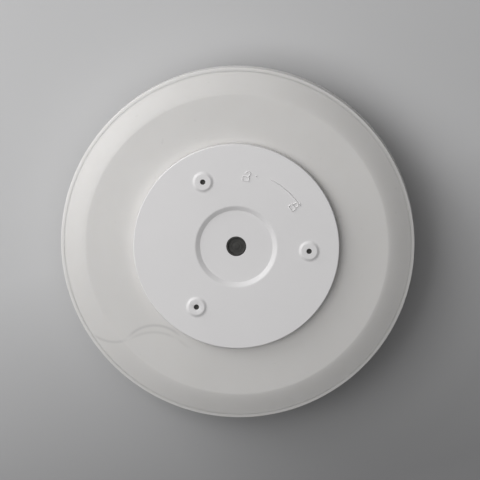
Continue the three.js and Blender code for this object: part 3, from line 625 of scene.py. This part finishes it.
def seam_edge(steps=5):
    """Small rounding of the shell's edge where it meets the dome's lip."""
    turns = [math.radians(30 + 60 * i / steps) for i in range(steps + 1)]
    across = SEAM_EDGE - SEAM_ROUNDING
    up = SEAM_Z - SEAM_ROUNDING
    return [
        (across + SEAM_ROUNDING * math.sin(turn), up + SEAM_ROUNDING * math.cos(turn))
        for turn in turns
    ]


BACK_RING_STEP = 5                  # between the rings of points that make up the sloping back


def in_notch(angle):
    return any(abs((angle - middle + 180) % 360 - 180) <= NOTCH_HALF_DEG for middle in NOTCH_ANGLES)


def opening_at(radius, angle):
    """The opening's radius is larger at a notch."""
    if radius < SHELL_OPENING + 0.5 and in_notch(angle):
        return radius + NOTCH_RADIUS - SHELL_OPENING
    return radius


def back_height(radius):
    """Height of the shell's outer face between its opening and the shoulder."""
    beyond = max(0, radius - SHELL_SEAT_RADIUS)
    return SHELL_BACK_Z - BACK_FALL * beyond / (SHOULDER_RADIUS - SHELL_SEAT_RADIUS)


def build_rear_shell(material):
    under = SHELL_BACK_Z - SHELL_WALL
    rings = [SHELL_SEAT_RADIUS - 2, *(SHELL_SEAT_RADIUS + BACK_RING_STEP * i for i in range(9))]
    outline = [
        (SHELL_OPENING, under + 0.4),
        (SHELL_OPENING, SHELL_BACK_Z - 0.4),
        (SHELL_OPENING + 0.4, SHELL_BACK_Z),
        *[(radius, back_height(radius)) for radius in rings],
        *shoulder(0)[:-1],
        *seam_edge(),
        (SEAM_EDGE, SEAM_Z - 4),
        (SHELL_EDGE, SEAM_Z - 4.5),
        (SHELL_EDGE, FLANGE_Z),
        (SHELL_EDGE - SHELL_WALL, FLANGE_Z),
        *reversed(shoulder(SHELL_WALL)),
        *[(radius, back_height(radius) - SHELL_WALL) for radius in reversed(rings)],
        (SHELL_OPENING + 0.4, under),
    ]
    piece = revolved("diffuser_rear_fine", outline, radius_at=opening_at)
    finish_piece(piece, "diffuser", "diffuser_rear_shell", material)


def dome_arc(radius, depth, steps):
    path = []
    for i in range(steps + 1):
        turn = math.pi / 2 * i / steps
        across = 0 if i == steps else radius * math.cos(turn) ** (2 / DOME_POWER)
        path.append((across, DOME_EDGE_Z - depth * math.sin(turn) ** (2 / DOME_POWER)))
    return path


def build_front_dome(material):
    depth = DOME_EDGE_Z - DOME_BOTTOM_Z
    lip = filleted([
        (DOME_INNER, DOME_EDGE_Z, 0),
        (DOME_INNER, FLANGE_Z - 2, 0.3),
        (LIP_INNER, FLANGE_Z - 1, 0.3),
        (LIP_INNER, SEAM_Z, SEAM_ROUNDING),
        (RIM_RADIUS, SEAM_Z - 0.9, 0.35),
        (RIM_RADIUS, DOME_EDGE_Z, 0),
    ])
    outline = [
        *reversed(dome_arc(DOME_INNER, depth - SHELL_WALL - 0.2, 48)),
        *lip[1:-1],
        *dome_arc(RIM_RADIUS, depth, 64),
    ]
    piece = domed("diffuser_front_fine", outline)
    finish_piece(piece, "diffuser", "diffuser_front_dome", material)


# ---- camera, floor and light ----

# The plate is seen nearly square on: turned about the view's own axes
VIEW_TILT = Vector((math.radians(8.8), math.radians(-3.2), 0))
VIEW_TURN = math.radians(-3.2)
VIEW_DISTANCE = 3.5
VIEW_OFFSET = Vector((0.0038, 0.0067))   # how far the view's middle lies from the plate's centre
LENS_MM = 266.9
FLOOR_GAP = 0.0005
FLOOR_PAINTED_SHADE = (0.31, 0.31, 0.315)    # painted shade: the floor's grey darkens to this towards the front
FLOOR_PAINTED_SHADE_Y = -0.28
FLOOR_UNSHADED_Y = 0.02
FLOOR_SHADE_TURN_DEG = 20                 # turns the painted shade so that the floor is darkest at the front right


def add_camera():
    tilt = Matrix.Rotation(VIEW_TILT.length, 3, VIEW_TILT.normalized())
    to_world = (tilt @ Matrix.Rotation(VIEW_TURN, 3, "Z")).transposed()
    data = bpy.data.cameras.new("camera")
    data.lens = LENS_MM
    data.sensor_width = 36
    data.clip_end = 60
    camera = bpy.data.objects.new("camera", data)
    bpy.context.scene.collection.objects.link(camera)
    target = Vector((0, 0, PLATE_Z * MM))
    place = target + to_world @ Vector((*VIEW_OFFSET, VIEW_DISTANCE))
    camera.matrix_world = Matrix.LocRotScale(place, to_world.to_quaternion(), None)
    bpy.context.scene.camera = camera


def add_floor():
    finish = Finish("floor_grey_painted_shade", (0.60, 0.60, 0.605), 0.9, specular=0.1)
    # Painted shade: the floor's grey darkens from the back towards the front right, where the light falls
    # off and the lamp's shadow lies.
    painted_shade_fade = finish.ranged(finish.coordinate(1), 0, 1, FLOOR_PAINTED_SHADE_Y, FLOOR_UNSHADED_Y)
    finish.paint_where(painted_shade_fade, FLOOR_PAINTED_SHADE, finish.mottle(3, 0.01))
    size = 12000
    z = DOME_BOTTOM_Z - FLOOR_GAP / MM
    corners = [(-size, -size, z), (size, -size, z), (size, size, z), (-size, size, z)]
    floor = mesh_object("floor", corners, [(0, 1, 2, 3)])
    floor.rotation_euler.z = math.radians(FLOOR_SHADE_TURN_DEG)
    floor.data.materials.append(finish.material)


def add_area_light(name, azimuth, elevation, distance, size, power):
    """Soft square light that points at the lamp, from an azimuth counted from +X."""
    data = bpy.data.lights.new(name, "AREA")
    data.size = size
    data.energy = power
    light = bpy.data.objects.new(name, data)
    flat = distance * math.cos(math.radians(elevation))
    light.location = (*polar(flat, azimuth), distance * math.sin(math.radians(elevation)))
    light.rotation_mode = "QUATERNION"
    light.rotation_quaternion = light.location.to_track_quat("Z", "Y")
    bpy.context.scene.collection.objects.link(light)


def add_lights():
    add_area_light("key", azimuth=165, elevation=58, distance=1.6, size=1.2, power=10.4)
    add_area_light("fill", azimuth=130, elevation=30, distance=1.6, size=1.2, power=3.7)
    add_area_light("side", azimuth=148, elevation=15, distance=2.0, size=1.2, power=18)
    add_area_light("overhead", azimuth=0, elevation=88, distance=2.0, size=1.6, power=6)
    world = bpy.data.worlds.new("studio")
    world.use_nodes = True
    background = world.node_tree.nodes["Background"]
    background.inputs["Color"].default_value = (1, 1, 1, 1)
    background.inputs["Strength"].default_value = 0.115
    bpy.context.scene.world = world


# ---- materials of the inner nodes ----

def plain(name, color, roughness, metallic=0.0, grain=(900, 0.00002), stretch=None):
    """Moulded, plated or painted surface with fine grain and slightly uneven gloss."""
    finish = Finish(name, color, roughness, metallic)
    finish.mottle(60, 0.03, stretch)
    finish.uneven_gloss(250, 0.06, stretch)
    finish.grain(*grain, stretch=stretch)
    return finish


def led_board_material():
    """White solder mask, with yellow chips that stand proud of the board."""
    finish = plain("led_board", (0.84, 0.85, 0.83), 0.35)
    board_low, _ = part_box("led_board_1")
    chip = finish.math("LESS_THAN", finish.coordinate(2), board_low.z + 0.0005)
    under = finish.mottle(60, 0.02)
    finish.paint_where(chip, under, (0.85, 0.62, 0.12))
    return finish.material


def can_material():
    """Dark sleeve, with the bare aluminium end of the can below."""
    finish = plain("can_sleeve", (0.03, 0.05, 0.10), 0.3)
    can_low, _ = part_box("bulk_capacitor")
    end = finish.math("LESS_THAN", finish.coordinate(2), can_low.z + 0.0009)
    under = finish.mottle(60, 0.03)
    finish.paint_where(end, under, (0.55, 0.56, 0.57))
    return finish.material


def glass_material():
    """Clear tube with a plated cap at each end."""
    finish = Finish("fuse_glass", (0.82, 0.86, 0.87), 0.08)
    low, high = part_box("fuse")
    middle = (low.x + high.x) / 2
    off_centre = finish.math("ABSOLUTE", finish.math("SUBTRACT", finish.coordinate(0), middle), 0)
    cap = finish.math("GREATER_THAN", off_centre, (high.x - low.x) / 2 - 0.004)
    under = finish.mottle(200, 0.02)
    finish.paint_where(cap, under, (0.62, 0.62, 0.60))
    finish.link(cap, finish.shader.inputs["Metallic"])
    return finish.material


def lens_material():
    finish = Finish("clear_lens", (0.93, 0.95, 0.95), 0.12)
    finish.mottle(80, 0.01)
    finish.uneven_gloss(120, 0.04)
    finish.set("Transmission Weight", 0.85)
    finish.set("IOR", 1.49)
    return finish.material


def copper_material():
    """Close turns of enamelled wire round the ring."""
    finish = plain("copper_wire", (0.55, 0.20, 0.07), 0.28, 0.9)
    finish.grain(900, 0.0001, stretch=(1, 1, 0.2))
    return finish.material


def inner_palette():
    brushed = (1, 8, 1)
    plains = {
        "white_foam": plain("white_foam", (0.72, 0.72, 0.71), 0.95, grain=(1600, 0.0002)),
        "white_plastic": plain("white_plastic", (0.78, 0.78, 0.76), 0.5),
        "grey_plastic": plain("grey_plastic", (0.33, 0.34, 0.35), 0.5),
        "orange_plastic": plain("orange_plastic", (0.72, 0.20, 0.03), 0.42),
        "zinc_steel": plain("zinc_steel", (0.60, 0.61, 0.63), 0.32, 1.0, stretch=brushed),
        "brass": plain("brass", (0.72, 0.50, 0.19), 0.28, 1.0, stretch=brushed),
        "green_board": plain("green_board", (0.02, 0.16, 0.06), 0.4),
        "ferrite": plain("ferrite", (0.05, 0.05, 0.055), 0.6, grain=(2000, 0.00008)),
        "coil_tape": plain("coil_tape", (0.72, 0.55, 0.05), 0.35),
        "film_box": plain("film_box", (0.62, 0.46, 0.05), 0.35),
        "black_epoxy": plain("black_epoxy", (0.02, 0.02, 0.022), 0.5),
        "heat_sink_metal": plain("heat_sink_metal", (0.62, 0.63, 0.64), 0.35, 1.0, stretch=(1, 1, 0.1)),
        "lead_red": plain("lead_red", (0.50, 0.02, 0.02), 0.4),
        "lead_black": plain("lead_black", (0.015, 0.015, 0.015), 0.4),
        "lead_brown": plain("lead_brown", (0.12, 0.045, 0.02), 0.4),
        "lead_blue": plain("lead_blue", (0.03, 0.10, 0.38), 0.4),
        "lead_green": plain("lead_green", (0.05, 0.28, 0.05), 0.4),
    }
    palette = {slot: finish.material for slot, finish in plains.items()}
    palette["led_board"] = led_board_material()
    palette["can_sleeve"] = can_material()
    palette["fuse_glass"] = glass_material()
    palette["clear_lens"] = lens_material()
    palette["copper_wire"] = copper_material()
    return palette


def dress_nodes(palette):
    for row in frame["record"]["subparts"]:
        materials = NODES[row["node"]].data.materials
        materials.clear()
        materials.append(palette[row["material_slot"]])


add_camera()
palette = inner_palette()
palette["white_paint"] = powder_coat()
palette["milky_diffuser"] = opal_plastic()
palette["black_rubber"] = dark_rubber()
dress_nodes(palette)
build_plate(palette["white_paint"])
build_grommet(palette["black_rubber"])
build_screw_seals(palette["black_rubber"])
build_rear_shell(palette["milky_diffuser"])
build_front_dome(opal_dome())
add_floor()
add_lights()
bpy.context.scene.view_settings.view_transform = "Standard"
